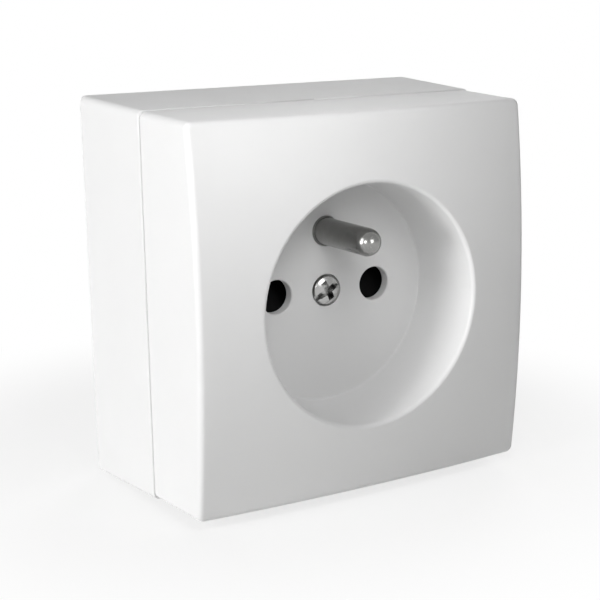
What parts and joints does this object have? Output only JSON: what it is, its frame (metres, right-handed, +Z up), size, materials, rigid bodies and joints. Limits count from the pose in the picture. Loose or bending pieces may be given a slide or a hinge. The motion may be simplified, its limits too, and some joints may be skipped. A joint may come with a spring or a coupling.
{
  "type": "surface mounted socket",
  "caption": "Square surface mounted wall socket: back box, bulged cover with a round well, shuttered pin holes, projecting earth pin and a central cover screw.",
  "frame": {"origin": "centre of the face that lies on the wall", "axes": "+X to the right seen from the front, +Y into the wall, +Z up; the front looks along -Y"},
  "size_m": [0.0648, 0.0386, 0.0648],
  "materials": {
    "cover_plastic": "white moulded plastic, satin",
    "box_plastic": "white moulded plastic, satin",
    "mechanism_plastic": "grey-beige insulating moulding, matt",
    "shutter_plastic": "black moulded plastic, satin",
    "nylon": "natural nylon, translucent white",
    "zinc_steel": "bright zinc plated steel",
    "nickel_pin": "nickel plated, satin",
    "spring_steel": "drawn spring steel",
    "contact_brass": "rolled brass sheet"
  },
  "bodies": {
    "socket": {"back_box": "box_plastic", "front_cover": "cover_plastic", "cover_screw": "zinc_steel", "screw_retainer": "nylon", "cover_nut": "zinc_steel", "contact_cover": "mechanism_plastic", "mechanism_base": "mechanism_plastic", "shutter_spring": "spring_steel", "left_contact": "contact_brass", "right_contact": "contact_brass", "left_contact_spring": "spring_steel", "right_contact_spring": "spring_steel", "left_clamp_plate": "zinc_steel", "right_clamp_plate": "zinc_steel", "earth_clamp_plate": "zinc_steel", "earth_pin": "nickel_pin", "earth_strap": "contact_brass", "terminal_screws": "zinc_steel", "mechanism_screws": "zinc_steel"},
    "shutter": {"shutter": "shutter_plastic"}
  },
  "joints": [
    {"name": "shutter_slide", "type": "slide", "parent": "socket", "child": "shutter", "axis": [0, 0, -1], "range_m": [0, 0.0058], "stiffness_N_per_m": 60, "springref_m": -0.004, "deforming": ["shutter_spring"]}
  ]
}
